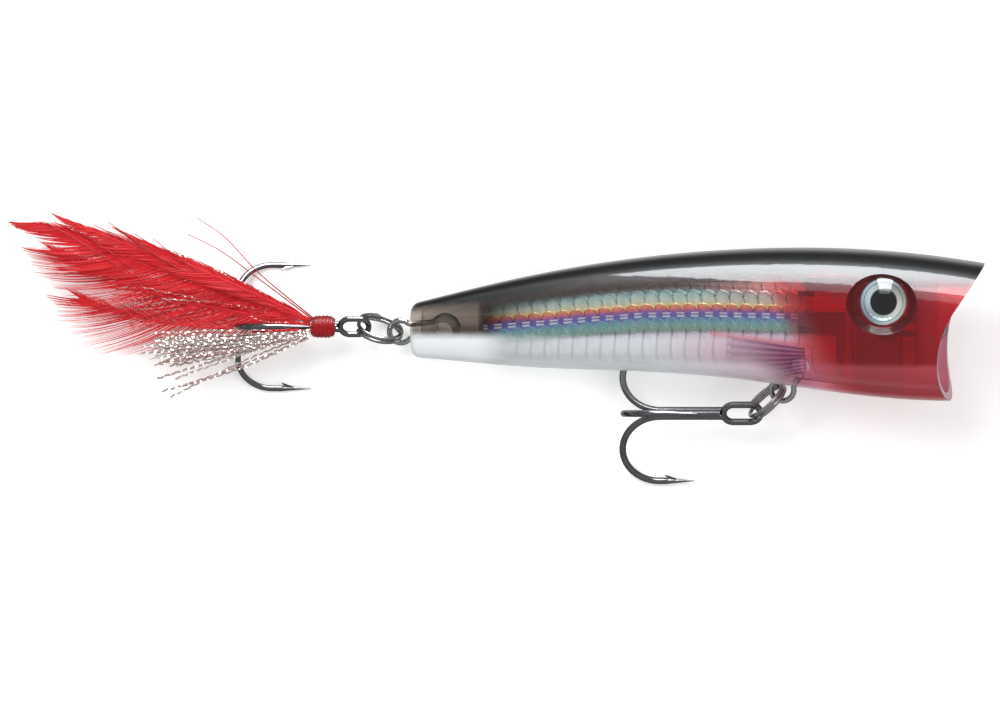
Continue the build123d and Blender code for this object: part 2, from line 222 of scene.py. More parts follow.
class Shader:
    """A node tree, of a material or the world, with short calls for the nodes used here."""

    def __init__(self, name, kind="materials", surface="Principled BSDF"):
        self.owner = getattr(bpy.data, kind).new(name)
        self.owner.use_nodes = True
        self.tree = self.owner.node_tree
        self.surface = self.tree.nodes[surface]

    def node(self, kind, inputs=None, **settings):
        made = self.tree.nodes.new("ShaderNode" + kind)
        for key, value in settings.items():
            setattr(made, key, value)
        for key, value in (inputs or {}).items():
            self.put(made.inputs[key], value)
        return made

    def put(self, socket, value):
        if isinstance(value, bpy.types.NodeSocket):
            self.tree.links.new(value, socket)
        else:
            socket.default_value = value

    def set(self, **values):
        """Sets the surface's inputs, where underscores stand for spaces; returns the material."""
        for key, value in values.items():
            self.put(self.surface.inputs[key.replace("_", " ")], value)
        return self.owner

    def finish(self, shader):
        """Puts another shader in the surface's place; returns the material."""
        self.put(self.tree.nodes["Material Output"].inputs["Surface"], shader)
        return self.owner

    def math(self, operation, a, b=0.0, *more):
        """One operation on two values, and then on the result and each further value."""
        made = self.node("Math", {0: a, 1: b}, operation=operation).outputs[0]
        return self.math(operation, made, *more) if more else made

    def times(self, *values):
        return self.math("MULTIPLY", *values)

    def plus(self, *values):
        return self.math("ADD", *values)

    def minus(self, a, b):
        return self.math("SUBTRACT", a, b)

    def most(self, *values):
        return self.math("MAXIMUM", *values)

    def dot(self, a, b, c, d):
        return self.plus(self.times(a, b), self.times(c, d))

    def smooth(self, value, low, high):
        """0 below low, 1 above high, and a smooth step between; low may be the larger."""
        made = self.node("MapRange", {"Value": value}, interpolation_type="SMOOTHSTEP")
        if isinstance(low, (int, float)) and low > high:
            low, high = high, low
            made.inputs["To Min"].default_value = 1.0
            made.inputs["To Max"].default_value = 0.0
        self.put(made.inputs["From Min"], low)
        self.put(made.inputs["From Max"], high)
        return made.outputs["Result"]

    def ramp(self, value, stops):
        """A colour along value from a list of (place, colour)."""
        made = self.node("ValToRGB", {"Fac": value})
        elements = made.color_ramp.elements
        while len(elements) < len(stops):
            elements.new(0.5)
        for element, (place, colour) in zip(elements, stops):
            element.position = place
            element.color = colour
        return made.outputs["Color"]

    def mix(self, factor, a, b, blend="MIX"):
        made = self.node("Mix", data_type="RGBA", blend_type=blend)
        self.put(made.inputs["Factor"], factor)
        self.put(made.inputs[6], a)
        self.put(made.inputs[7], b)
        return made.outputs[2]

    def line(self, x, points):
        """y along x, both in lure axes, on a smooth curve through a few points."""
        made = self.node("FloatCurve", {"Value": self.math("DIVIDE", x, CURVE_X)})
        curve = made.mapping.curves[0]
        spots = [(px / CURVE_X, (py + CURVE_Y) / (2 * CURVE_Y)) for px, py in points]
        curve.points[0].location = spots[0]
        curve.points[1].location = spots[-1]
        for spot in spots[1:-1]:
            curve.points.new(*spot)
        made.mapping.update()
        return self.plus(self.times(made.outputs[0], 2 * CURVE_Y), -CURVE_Y)

    def mapped(self, **inputs):
        """Places in row axes, mapped."""
        inputs["Vector"] = self.node("TexCoord").outputs["Object"]
        return self.node("Mapping", inputs).outputs[0]

    def noise(self, scale, detail, stretch=(1, 1, 1)):
        """Noise from 0 to 1 with features about 1 / scale mm across."""
        place = self.mapped(Scale=tuple(s / MM for s in stretch))
        inputs = {"Vector": place, "Scale": scale, "Detail": detail}
        return self.node("TexNoise", inputs).outputs["Fac"]

    def split(self, vector):
        return self.node("SeparateXYZ", {0: vector}).outputs

    def lure_place(self):
        """Lure axes in mm, split into x, y and z."""
        place = LURE_INVERSE.translation
        return self.split(self.mapped(Location=place, Rotation=LURE_SPIN, Scale=(1 / MM,) * 3))

    def lure_normal(self):
        """The surface's outward direction in lure axes, split into x, y and z."""
        geometry = self.node("NewGeometry").outputs
        inputs = {"Vector": geometry["Normal"], "Rotation": LURE_SPIN}
        turned = self.node("Mapping", inputs, vector_type="VECTOR")
        flip = self.minus(1.0, self.times(geometry["Backfacing"], 2.0))
        inputs = {0: turned.outputs[0], "Scale": flip}
        return self.split(self.node("VectorMath", inputs, operation="SCALE").outputs[0])

    def bump(self, height, distance, strength):
        """distance is in mm."""
        inputs = {"Height": height, "Distance": distance * MM, "Strength": strength}
        return self.node("Bump", inputs).outputs["Normal"]

    def attribute(self, name, output="Fac"):
        return self.node("Attribute", attribute_name=name).outputs[output]

    def front_gloss(self, index, roughness):
        """A glossy layer's share and its shader, on faces seen from outside only."""
        back = self.node("NewGeometry").outputs["Backfacing"]
        fresnel = self.node("Fresnel", {"IOR": index}).outputs[0]
        gloss = self.node("BsdfGlossy", {"Roughness": roughness}).outputs[0]
        return self.times(fresnel, self.minus(1.0, back)), gloss

    def layer(self, factor, a, b):
        return self.node("MixShader", {0: factor, 1: a, 2: b}).outputs[0]


# lines along the flank in lure axes: x, y
BLACK_EDGE = [(0, 3.4), (11, 4.9), (23, 7.3), (35, 8.4), (47, 8.8), (59, 8.4), (76, 6.6)]
SMOKE_EDGE = [(0, 1.9), (11, 2.6), (19, 4.0), (26, 5.2), (37, 6.2), (50, 6.6), (76, 5.6)]
PEARL_EDGE = [(0, -0.2), (9, 0.0), (29, 0.35), (44, 0.3), (60, -2.5), (76, -5.0)]
# the square that holds these lines: x from 0 to CURVE_X, y up to CURVE_Y either way
CURVE_X = 80.0
CURVE_Y = 12.0

# soft edges of the shell's tints in mm, from where a tint is absent to where it is full
SLOT_FRONT = (62.2, 61.6)  # x of the slot behind the mouth
SLOT_BACK = (54.9, 55.3)
SLOT_DEPTH = (4.15, 4.0)   # of its faces from the mid plane
MOUTH_BACK = (62.0, 63.2)
BOWL_RADIUS = (5.2, 5.0)   # round the middle of the eye
BOWL_DEPTH = (4.2, 4.4)
BAND_BACK = (62.6, 63.2)
BAND_FRONT = (66.4, 65.4)
BAND_FOOT = (-3.9, -3.2)

HEAD_TINT = (0.84, 0.085, 0.105, 1.0)
BAND_TINT = (0.62, 0.06, 0.075, 1.0)
SHADOW_TINT = (0.74, 0.62, 0.62, 1.0)


def tinted_shell():
    """Clear moulding: black along the back, smoky at the tail, pearl under, red in the head."""
    s = Shader("tinted_shell_finish")
    x, y, z = s.lure_place()
    shadow = s.node("LightPath").outputs["Is Shadow Ray"]
    wander = s.times(s.minus(s.noise(0.35, 2.0), 0.5), 0.5)
    height = s.plus(y, wander)

    # opaque black above its line, thinning out as smoke towards the foil
    black_line = s.line(x, BLACK_EDGE)
    full = s.smooth(s.minus(height, black_line), -1.2, -0.2)
    thin = s.smooth(height, s.line(x, SMOKE_EDGE), black_line)
    near_tail = s.smooth(x, 12.0, 3.0)
    thin = s.math("POWER", thin, s.plus(0.6, s.times(near_tail, 0.35)))
    black = s.most(full, s.times(thin, 0.96))
    # pearl below its line, thicker towards the belly and gone in the head
    below = s.minus(s.line(x, PEARL_EDGE), height)
    thin_pearl = s.times(s.smooth(below, -0.25, 0.75), 0.38)
    pearl = s.plus(thin_pearl, s.times(s.smooth(below, 2.6, 4.6), 0.5))
    pearl = s.most(pearl, s.times(s.smooth(x, 16.0, 8.0), s.smooth(below, -0.5, 0.9)))
    ahead = s.plus(x, s.times(y, 0.6))
    pearl = s.times(pearl, s.smooth(ahead, 46.5, 40.0))
    # red over the head, its edge leaning back towards the belly
    red = s.smooth(s.plus(x, s.times(y, 0.45)), 46.8, 52.5)
    pink = s.smooth(ahead, 27.0, 47.0)
    # the faces of the slot behind the mouth, darkened as painted shade, and the inside of the mouth
    depth = s.math("ABSOLUTE", z)
    normal = s.lure_normal()
    inward = s.smooth(s.dot(normal[1], y, normal[2], z), 0.3, -0.3)
    slot = s.times(s.smooth(depth, *SLOT_DEPTH), s.smooth(x, *SLOT_BACK), s.smooth(x, *SLOT_FRONT))
    slot = s.times(slot, inward)
    mouth = s.times(inward, s.smooth(x, *MOUTH_BACK))
    # painted shade in the bowl round the eye
    eye_x = s.minus(x, EYE_SPOT[0])
    eye_y = s.minus(y, EYE_SPOT[1])
    near_eye = s.smooth(s.math("SQRT", s.dot(eye_x, eye_x, eye_y, eye_y)), *BOWL_RADIUS)
    facing_eye = s.smooth(s.dot(normal[0], eye_x, normal[1], eye_y), -1.2, -1.9)
    bowl_shade = s.times(near_eye, facing_eye, s.smooth(depth, *BOWL_DEPTH))
    # a thin haze of red in the head, paler along the belly
    low_head = s.smooth(height, -2.6, -3.6)
    haze = s.times(red, s.plus(0.26, s.times(low_head, 0.24)))

    back_colour = s.mix(full, linear(52, 38, 34), linear(9, 11, 12))
    colour = s.mix(pink, linear(240, 245, 247), linear(222, 188, 202))
    colour = s.mix(s.smooth(black, 0.0, 0.15), colour, back_colour)
    colour = s.mix(s.times(s.noise(2.2, 5.0), 0.25), colour, linear(150, 156, 164), "OVERLAY")
    red_haze = s.mix(low_head, linear(150, 36, 48), linear(190, 84, 96))
    colour = s.mix(s.times(red, s.smooth(black, 0.1, 0.0)), colour, red_haze)
    # painted shade: the slot's faces turn dark red
    colour = s.mix(slot, colour, linear(132, 26, 36))
    colour = s.mix(mouth, colour, linear(214, 150, 170))
    # painted shade: the bowl's faces turn dark maroon
    colour = s.mix(bowl_shade, colour, linear(84, 26, 30))
    s.set(Base_Color=colour, Roughness=0.32, Coat_Weight=1.0, Coat_Roughness=0.03)

    clear = s.mix(s.smooth(x, 12.5, 9.0), linear(250, 250, 250), linear(226, 221, 217))
    clear = s.mix(s.times(pink, s.smooth(y, 2.0, -3.0)), clear, linear(244, 214, 224))
    clear = s.mix(red, clear, HEAD_TINT)
    # darker in an upright band behind the mouth
    band = s.times(s.smooth(x, *BAND_BACK), s.smooth(x, *BAND_FRONT), s.smooth(height, *BAND_FOOT))
    clear = s.mix(band, clear, BAND_TINT)
    # the red tint throws only a faintly tinted shadow
    clear = s.mix(s.times(shadow, red), clear, SHADOW_TINT)
    through = s.node("BsdfTransparent", {"Color": clear}).outputs[0]
    share, gloss = s.front_gloss(1.5, 0.02)
    window = s.layer(share, through, gloss)
    # the outside's paint isn't on the inside, and part of the light passes through it
    paint = s.times(s.most(black, pearl, haze), s.minus(1.0, inward))
    paint = s.most(paint, s.times(slot, 0.5), s.times(bowl_shade, 0.8), s.times(mouth, 0.75))
    paint = s.times(paint, s.minus(1.0, s.times(shadow, 0.7)))
    return s.finish(s.layer(paint, window, s.surface.outputs[0]))


def holographic_foil():
    s = Shader("holographic_foil_finish")
    grain = s.noise(6.0, 4.0, (0.35, 1.6, 1.0))
    streaks = s.ramp(grain, [(0.3, linear(120, 120, 128)), (0.7, linear(236, 236, 240))])
    fine = s.noise(14.0, 2.0)
    return s.set(
        Base_Color=s.mix(0.35, s.attribute("paint", "Color"), streaks, "OVERLAY"),
        Metallic=s.times(s.attribute("metal"), 0.55),
        Roughness=s.plus(0.2, s.times(fine, 0.22)),
        Normal=s.bump(fine, 0.01, 0.35),
    )


def iris_foil():
    s = Shader("iris_finish")
    fine = s.noise(9.0, 3.0)
    glitter = s.ramp(fine, [(0.3, linear(150, 170, 180)), (0.7, linear(255, 250, 245))])
    return s.set(
        Base_Color=s.mix(0.15, s.attribute("paint", "Color"), glitter, "MULTIPLY"),
        Metallic=s.times(s.attribute("metal"), 0.55),
        Roughness=s.plus(0.08, s.times(fine, 0.12)),
    )


def clear_lens():
    s = Shader("clear_lens_finish")
    through = s.node("BsdfTransparent", {"Color": linear(250, 252, 252)}).outputs[0]
    share, gloss = s.front_gloss(1.72, 0.012)
    s.put(gloss.node.inputs["Normal"], s.bump(s.noise(0.8, 2.0), 0.004, 0.25))
    return s.finish(s.layer(share, through, gloss))


def metal(name, colour, roughness, brush=(1, 1, 1), wear=0.25):
    """Bare or plated metal with fine drawn marks, stains and a slightly uneven skin."""
    s = Shader(name)
    marks = s.noise(9.0, 4.0, brush)
    stains = s.smooth(s.noise(0.9, 4.0), 0.42, 0.72)
    dark = (*[0.45 * c for c in colour[:3]], 1.0)
    return s.set(
        Base_Color=s.mix(s.times(stains, wear), colour, dark),
        Metallic=1.0,
        Roughness=s.plus(roughness, s.times(marks, 0.14)),
        Normal=s.bump(marks, 0.004, 0.5),
    )


def dyed_feather():
    s = Shader("dyed_feather_finish")
    dyes = [(0.0, linear(138, 8, 20)), (0.5, linear(200, 14, 26)), (1.0, linear(222, 38, 46))]
    streak = s.times(s.noise(2.4, 4.0, (0.25, 1.5, 1.5)), 0.25)
    return s.set(
        Base_Color=s.mix(streak, s.ramp(s.attribute("shade"), dyes), linear(240, 90, 96), "SOFT_LIGHT"),
        Roughness=0.48,
        Sheen_Weight=0.25,
        Sheen_Roughness=0.4,
        Specular_IOR_Level=0.45,
    )


def silver_flash():
    s = Shader("silver_flash_finish")
    # the pinkish low end is painted reflection of the red feathers; the rest is the tinsel's own silver
    silver_and_reflected_red = [(0.0, linear(216, 172, 166)), (0.45, linear(232, 212, 204)), (1.0, linear(246, 240, 234))]
    return s.set(
        Base_Color=s.ramp(s.attribute("shade"), silver_and_reflected_red),
        Metallic=0.75,
        Roughness=s.plus(0.12, s.times(s.noise(3.0, 2.0), 0.25)),
    )


def lacquered_thread():
    s = Shader("lacquered_thread_finish")
    fibre = s.noise(7.0, 4.0, (3.0, 0.6, 0.6))
    dyes = [(0.25, linear(100, 2, 10)), (0.6, linear(182, 10, 22)), (0.85, linear(224, 56, 58))]
    return s.set(
        Base_Color=s.ramp(fibre, dyes),
        Roughness=0.36,
        Coat_Weight=0.8,
        Coat_Roughness=0.1,
        Normal=s.bump(fibre, 0.02, 0.4),
    )


MATERIALS = {
    "tinted_shell": tinted_shell(),
    "holographic_foil": holographic_foil(),
    "eye_foil": iris_foil(),
    "eye_lens": clear_lens(),
    "stainless_wire": metal("stainless_wire_finish", linear(214, 216, 216), 0.06, (0.2, 2, 2)),
    "weight_steel": metal("weight_steel_finish", linear(150, 152, 156), 0.25),
    "ring_steel": metal("ring_steel_finish", linear(206, 203, 200), 0.1, (0.5, 2, 2), 0.45),
    "black_nickel_hook": metal("black_nickel_finish", linear(146, 146, 148), 0.12, (0.25, 2, 2), 0.3),
    "red_thread": lacquered_thread(),
    "red_hackle": dyed_feather(),
    "silver_flash": silver_flash(),
}


def finish_cad_nodes():
    """Gives each CAD node the finish of its slot."""
    for node in frame["nodes"].values():
        for holder in node.material_slots:
            holder.material = MATERIALS[holder.material.name.split(".")[0]]


# ---------------- foil with scales

SCALE_WIDTH = 1.765
SCALE_ROW = 1.72
SCALE_ARCH = 1.25
SCALE_LEAN = 0.25    # tops lean towards the tail
ARCH_POWER = 2.6     # 2 is an ellipse, more is squarer
TOP_ROW = 3.2        # arch of the topmost full row above the lateral line
FRONT_SCALES = 49.0  # the last whole scales start before this x
SMOOTH_CHEEK = 50.6  # the foil is plain ahead of this x
CHEEK_END = 54.5
BELLY_END = 53.2
FOIL_STEP_X = 0.118
FOIL_COLUMNS = 190
FOIL_INSET = 0.04    # of the first and last rows from the CAD foil's ends
FOIL_RAYS = 140      # cast inwards round each section
RAY_START = 14.0     # outside the widest section
RAY_CENTRE = 0.9     # y that the rays aim at, from x = 20 on; behind, it drops to 0
FOIL_EDGE_Z = 1.37   # distance of the CAD foil's edges from the mid plane
FOIL_REACH = 1.8     # rays that hit nearer to the centre have missed the foil
FOIL_SINK = 0.11     # how far the relief's ground lies under the CAD surface
# share of painted shade on the scale edges above the lateral line
EDGE_SHADE = 0.92
LINE_DARKNESS = 0.6
LATERAL_LINE = [(9.0, 0.5), (19.0, 1.5), (29.1, 2.5), (36.6, 2.75), (49.0, 2.6), (56.0, 2.5)]

# colour across the flank, the foil's rainbow painted as fixed bands by height in place of its play of
# colour with light and view: mm above the lateral line, colour
FLANK_COLOURS = [
    (-9.0, (238, 238, 244)),
    (-4.0, (232, 236, 242)),
    (-2.5, (216, 218, 226)),
    (-1.95, (172, 170, 184)),
    (-1.5, (160, 192, 176)),
    (-0.9, (138, 192, 190)),
    (-0.35, (122, 160, 200)),
    (0.2, (118, 118, 192)),
    (0.6, (156, 116, 186)),
    (0.95, (246, 136, 130)),
    (1.25, (255, 186, 128)),
    (1.6, (246, 222, 166)),
    (2.1, (208, 220, 204)),
    (2.75, (168, 198, 194)),
    (3.2, (122, 142, 142)),
    (3.8, (100, 82, 76)),
    (5.0, (60, 48, 46)),
    (9.0, (22, 20, 20)),
]


def scales(u, v):
    """Relief in mm, edge share, a number for each scale, its doming, and how far out from
    its middle, over arrays of places: u along the flank and v above the lateral line. Lower
    rows lie over upper ones, arches upwards."""
    relief = np.zeros_like(u)
    edge = np.zeros_like(u)
    number = np.zeros_like(u)
    dome = np.zeros_like(u)
    side_share = np.zeros_like(u)
    power = ARCH_POWER
    for row in range(-3, 4):
        top = TOP_ROW - SCALE_ROW * row
        shift = 0.5 * (row % 2)
        cell = u / SCALE_WIDTH + shift
        across = (cell - np.floor(cell) - 0.5) * 2
        inner = np.clip(1 - np.abs(across) ** power, 0.002, 1)
        flat = inner ** (1 / power)
        below = top - SCALE_ARCH * (1 - flat) - v
        steep = np.abs(across) ** (power - 1) * inner ** (1 / power - 1)
        slope = SCALE_ARCH * steep / (SCALE_WIDTH / 2)
        distance = below / np.sqrt(1 + slope**2)
        inside = below >= 0
        relief = np.where(inside, 0.07 * np.exp(-np.maximum(distance, 0) / 0.4), relief)
        relief = np.where(inside, relief - 0.035 * across**2, relief)
        edge = np.where(inside, np.exp(-((distance / 0.17) ** 2)), edge)
        number = np.where(inside, np.floor(cell) * 7.13 + row * 3.77, number)
        dome = np.where(inside, np.clip(below, 0, SCALE_ROW) * 0.2 + 0.15 * across**2, dome)
        side_share = np.where(inside, np.abs(across), side_share)
    return relief, edge, number, dome, side_share


def belly_lines(u):
    """Share of a fine upright line, once for each scale width."""
    cell = u / SCALE_WIDTH
    away = np.abs(cell - np.floor(cell) - 0.5) * SCALE_WIDTH
    return np.exp(-((away / 0.12) ** 2))


def blend_colours(places, stops):
    """Linear RGB at each place along a list of (place, display colour)."""
    xs = [place for place, _ in stops]
    table = np.array([rgb(*colour) for _, colour in stops])
    return np.stack([np.interp(places, xs, table[:, i]) for i in range(3)], axis=-1)


def jitter(numbers):
    """A repeatable value from 0 to 1 for each scale number."""
    return np.modf(np.abs(np.sin(numbers * 12.9898) * 43758.5453))[0]


# the pectoral fin pressed into the foil, in lure axes
FIN_ROOT = (50.5, -2.2)
FIN_TIP_X = 39.6
FIN_RAYS = 8
FIN_STRAP = [(37.6, 0.5), (41.0, 0.1), (49.0, -0.85), (55.4, -2.1)]
BOSS = (51.0, -3.8)
BOSS_SIZE = (2.25, 1.95)


def fin_pattern(x, y):
    """Shares of the fin's rays, its web and its strap at places in lure axes."""
    reach = FIN_ROOT[0] - x
    drop = (FIN_ROOT[1] - y) / np.maximum(reach + 5.0, 0.1)
    fan = (drop + 0.16) / 0.56
    tip = FIN_ROOT[0] - FIN_TIP_X - 0.9 * np.abs(fan - 0.4) + 0.35 * np.cos(fan * FIN_RAYS * 2 * pi)
    web = (fan > 0) & (fan < 1) & (reach > 1.2) & (reach < tip)
    ray = 0.5 - 0.5 * np.cos(fan * FIN_RAYS * 2 * pi + 0.12 * reach)
    strap_y = np.interp(x, [p[0] for p in FIN_STRAP], [p[1] for p in FIN_STRAP])
    on_strap = (x > FIN_STRAP[0][0]) & (x < FIN_STRAP[-1][0])
    strap = np.exp(-(((y - strap_y) / 0.33) ** 2)) * on_strap
    return np.where(web, ray, 0.0), web.astype(float), strap


def foil_surface(node, side):
    """Rows of points over the outside of the CAD foil, in lure axes, evenly spaced along x
    and along each section from the back edge to the belly edge."""
    corners = [LURE_INVERSE @ vertex.co for vertex in node.data.vertices]
    tree = BVHTree.FromPolygons(corners, [tuple(p.vertices) for p in node.data.polygons])
    low = min(c.x for c in corners) + FOIL_INSET
    high = max(c.x for c in corners) - FOIL_INSET
    rows = []
    for x in np.arange(low, high, FOIL_STEP_X):
        middle = RAY_CENTRE * min(x / 20, 1)
        outline = []
        for angle in np.linspace(0.03, pi - 0.03, FOIL_RAYS):
            out = Vector((0, cos(angle), side * sin(angle)))
            hit = tree.ray_cast(Vector((x, middle, 0)) + out * RAY_START, -out)[0]
            if hit is None or abs(hit.z) <= FOIL_EDGE_Z:
                continue
            if (hit.yz - Vector((middle, 0))).length > FOIL_REACH:
                outline.append(hit)
        outline = np.array(outline)
        steps = np.linalg.norm(np.diff(outline, axis=0), axis=1)
        along = np.concatenate([[0], np.cumsum(steps)])
        even = np.linspace(0, along[-1], FOIL_COLUMNS)
        rows.append(np.stack([np.interp(even, along, outline[:, i]) for i in range(3)], axis=-1))
    return np.array(rows)


def surface_normals(rows):
    normals = np.cross(np.gradient(rows, axis=0), np.gradient(rows, axis=1))
    return normals / np.linalg.norm(normals, axis=2)[..., None]


def tinted(colours, share, tint):
    """Colours moved by a share, from 0 to 1 at each place, towards a tint."""
    return colours * (1 - share) + share * tint


def make_foil(name, side):
    """One flank's foil, embossed and printed, just under the CAD foil's outside."""
    rows = foil_surface(frame["nodes"][name + "_foil"], side)
    normals = surface_normals(rows)
    outward = np.sign((normals[..., 2] * side).mean())
    normals = normals * outward
    x, y = rows[..., 0], rows[..., 1]
    lateral = np.interp(x, [p[0] for p in LATERAL_LINE], [p[1] for p in LATERAL_LINE])
    # arc length above the lateral line
    steps = np.linalg.norm(np.diff(rows, axis=1), axis=2)
    along = np.concatenate([np.zeros((len(rows), 1)), np.cumsum(steps, axis=1)], axis=1)
    sections = zip(lateral, y, along)
    at_line = np.array([np.interp(-line[0], -height, length) for line, height, length in sections])
    v = at_line[:, None] - along

    relief, edge, number, dome, side_share = scales(x + SCALE_LEAN * v, v)
    lines = belly_lines(x + 0.18 * np.sin(v * 0.9))
    upper = np.clip((v + 1.9) / 0.5, 0, 1)
    relief = relief * upper - 0.03 * lines * (1 - upper)
    # painted iridescence: the colour also shifts across each scale's dome, and a little at random from
    # scale to scale
    spot = v + dome - 0.15 + 0.12 * (jitter(number) - 0.5) * upper
    colours = blend_colours(np.where(v > -2.2, spot, v), FLANK_COLOURS)
    # towards the tail the foil turns smoky
    smoke = np.clip((17.0 - x) / 8.0, 0, 1) * np.clip((v + 0.6) / 1.4, 0, 1)
    colours = colours * (1 - smoke[..., None] * 0.82)
    warm = np.clip((x - 36) / 14, 0, 1)[..., None] * np.clip(v / 1.2, 0, 1)[..., None]
    warm = warm * (0.3 + 0.35 * np.clip((v - 1.6) / 1.2, 0, 1))[..., None]
    colours = tinted(colours, warm, rgb(236, 122, 112))
    # scale edges: painted shade above the lateral line and painted highlight below it, for the light that
    # the grooves would catch
    smooth_cheek = np.clip((SMOOTH_CHEEK - x) / 0.6, 0, 1)
    edge = edge * (0.3 + 0.7 * side_share**2) * smooth_cheek
    edge_shade = (edge * np.clip(v + 0.1, 0.25, 1))[..., None]
    colours = colours * (1 - EDGE_SHADE * edge_shade)
    edge_highlight = (edge * upper * np.clip(-v / 0.6, 0, 1))[..., None]
    colours = tinted(colours, 0.6 * edge_highlight, 0.8)
    faint = (lines * (1 - upper) * smooth_cheek)[..., None]
    colours = colours * (1 - LINE_DARKNESS * faint)
    cheek_share = ((1 - smooth_cheek) * (v > 0))[..., None]
    colours = tinted(colours, cheek_share, rgb(255, 150, 120))
    # two short bright dashes for each scale along the lateral line
    cell = x / SCALE_WIDTH + 0.25
    centred = np.abs(cell - np.floor(cell) - 0.5)
    lines_at = np.exp(-(((v + 0.05) / 0.1) ** 2)) + np.exp(-(((v - 0.33) / 0.08) ** 2))
    dash = np.clip((centred < 0.27) * lines_at, 0, 1)[..., None]
    colours = tinted(colours, dash, 0.95)
    relief = relief + 0.03 * dash[..., 0]

    ray, web, strap = fin_pattern(x, y)
    ray_colour = tinted(rgb(190, 172, 196), ray[..., None], rgb(112, 92, 128))
    colours = np.where(web[..., None] > 0, ray_colour, colours)
    colours = tinted(colours, 0.8 * strap[..., None], rgb(226, 168, 176))
    relief = relief * (1 - web) + 0.05 * ray + 0.06 * strap
    ring = np.hypot((x - BOSS[0]) / BOSS_SIZE[0], (y - BOSS[1]) / BOSS_SIZE[1])
    rim = np.exp(-(((ring - 1) / 0.12) ** 2))[..., None]
    colours = tinted(colours, 0.5 * rim, rgb(236, 170, 178))
    relief = relief + 0.05 * rim[..., 0]
    metal_share = np.clip((v + 2.3) / 0.4, 0, 1) * (1 - web)
    # fine upright grain that the embossing leaves on each scale
    grain = np.sin(x * 41.0 + 3.0 * np.sin(number)) * np.sin(x * 17.3 + number)
    colours = colours * (1 + 0.13 * (grain * np.clip((v + 2.2) / 0.5, 0, 1))[..., None])

    sunk = rows + normals * (relief - FOIL_SINK)[..., None]
    # the front edge follows whole scales, with a plain cheek and belly ahead of it
    odd_row = np.floor((v - TOP_ROW) / SCALE_ROW) % 2
    column = np.floor(x / SCALE_WIDTH + 0.5 * odd_row) * SCALE_WIDTH
    scaled = column < FRONT_SCALES - 0.25 * np.maximum(-v, 0)
    cheek = (v > 0.7) & (v < 2.7) & (x < CHEEK_END)
    under = (v < -1.9) & (x < BELLY_END)
    kept = (under | scaled | cheek).ravel()
    faces = [face for face in grid_faces(*sunk.shape[:2]) if all(kept[corner] for corner in face)]
    if outward * side < 0:
        faces = [face[::-1] for face in faces]
    points = sunk.reshape(-1, 3)
    piece = make_piece(name + "_scale_foil", points, faces, "root", "holographic_foil", LURE)
    put_colours(piece, "paint", colours.reshape(-1, 3))
    put_values(piece, "metal", metal_share.ravel())
    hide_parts(name + "_foil")


# ---------------- eyes

EYE_SIDES = 96
DISC_HALF_THICKNESS = 0.125
PLEATED = (1.65, 2.4)  # radii between which the foil ring is pleated
PLEATS = 24
PLEAT_DEPTH = 0.012
# radius and height over the socket's floor, display colour, and metal share
IRIS_PROFILE = [
    (0.02, 0.17, (6, 8, 10), 0.0),
    (1.2, 0.16, (6, 8, 10), 0.0),
    (1.56, 0.13, (8, 10, 12), 0.0),
    (1.62, 0.05, (60, 64, 66), 1.0),
    (1.7, 0.035, (236, 240, 240), 1.0),
    (2.05, 0.09, (236, 240, 240), 1.0),
    (2.3, 0.17, (220, 228, 230), 1.0),
    (2.42, 0.2, (120, 130, 136), 1.0),
    (2.5, 0.21, (230, 236, 240), 1.0),
    (2.86, 0.24, (216, 224, 230), 1.0),
    (2.88, 0.05, (150, 156, 160), 1.0),
]


def node_plane(node):
    """The middle and the axes of a flat round CAD node, from its vertices."""
    points = np.array([tuple(v.co) for v in frame["nodes"][node].data.vertices]) / MM
    middle = (points.max(0) + points.min(0)) / 2
    _, _, axes = np.linalg.svd(points - points.mean(0), full_matrices=False)
    return middle, axes


def make_iris(name, side):
    """One eye's stepped disc: black pupil, pleated silver ring and plain rim."""
    middle, axes = node_plane(name + "_eye_disc")
    up = axes[2] * np.sign(axes[2] @ np.array(LURE.to_3x3() @ Vector((0, 0, side))))
    first = np.array(LURE.to_3x3() @ Vector((1, 0, 0))) / MM
    first -= up * (first @ up)
    first /= np.linalg.norm(first)
    second = np.cross(up, first)
    points, colours, shares = [], [], []
    for radius, height, colour, share in IRIS_PROFILE:
        for j in range(EYE_SIDES):
            angle = 2 * pi * j / EYE_SIDES
            # fine radial pleats in the foil ring
            pleated = PLEATED[0] < radius < PLEATED[1]
            pleat = PLEAT_DEPTH * sin(angle * PLEATS) if pleated else 0.0
            spot = middle + radius * (cos(angle) * first + sin(angle) * second)
            points.append(spot + up * (height - DISC_HALF_THICKNESS + pleat))
            # painted reflection: bright and dull quarters, cool on one side and warm on the other
            tint = 1 + 0.3 * share * sin(angle * 2 + 0.7 + radius)
            hue = np.array((1 + 0.1 * share * cos(angle), 1.0, 1 - 0.1 * share * cos(angle)))
            colours.append(rgb(*colour) * tint * hue)
            shares.append(share)
    faces = [face[::-1] for face in grid_faces(len(IRIS_PROFILE), EYE_SIDES, wrap=True)]
    faces.append(tuple(range(EYE_SIDES)))
    piece = make_piece(name + "_iris", points, faces, "root", "eye_foil")
    put_colours(piece, "paint", np.array(colours))
    put_values(piece, "metal", shares)
    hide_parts(name + "_eye_disc")


# ---------------- thread wrap

THREAD_RADIUS = 0.085
WRAP_TURNS = 19
WRAP_LAYERS = [(0.0, WRAP_TURNS), (0.07, -WRAP_TURNS / 3)]  # extra radius and signed turns
WRAP_STEPS = 22    # points in each turn
WRAP_RADIUS = 0.86
WRAP_SWELL = 0.46  # how much the middle stands out
WRAP_INSET = 0.12  # of the first and last turns from the ends
CORE_POINTS = 25
CORE_INSET = 0.02


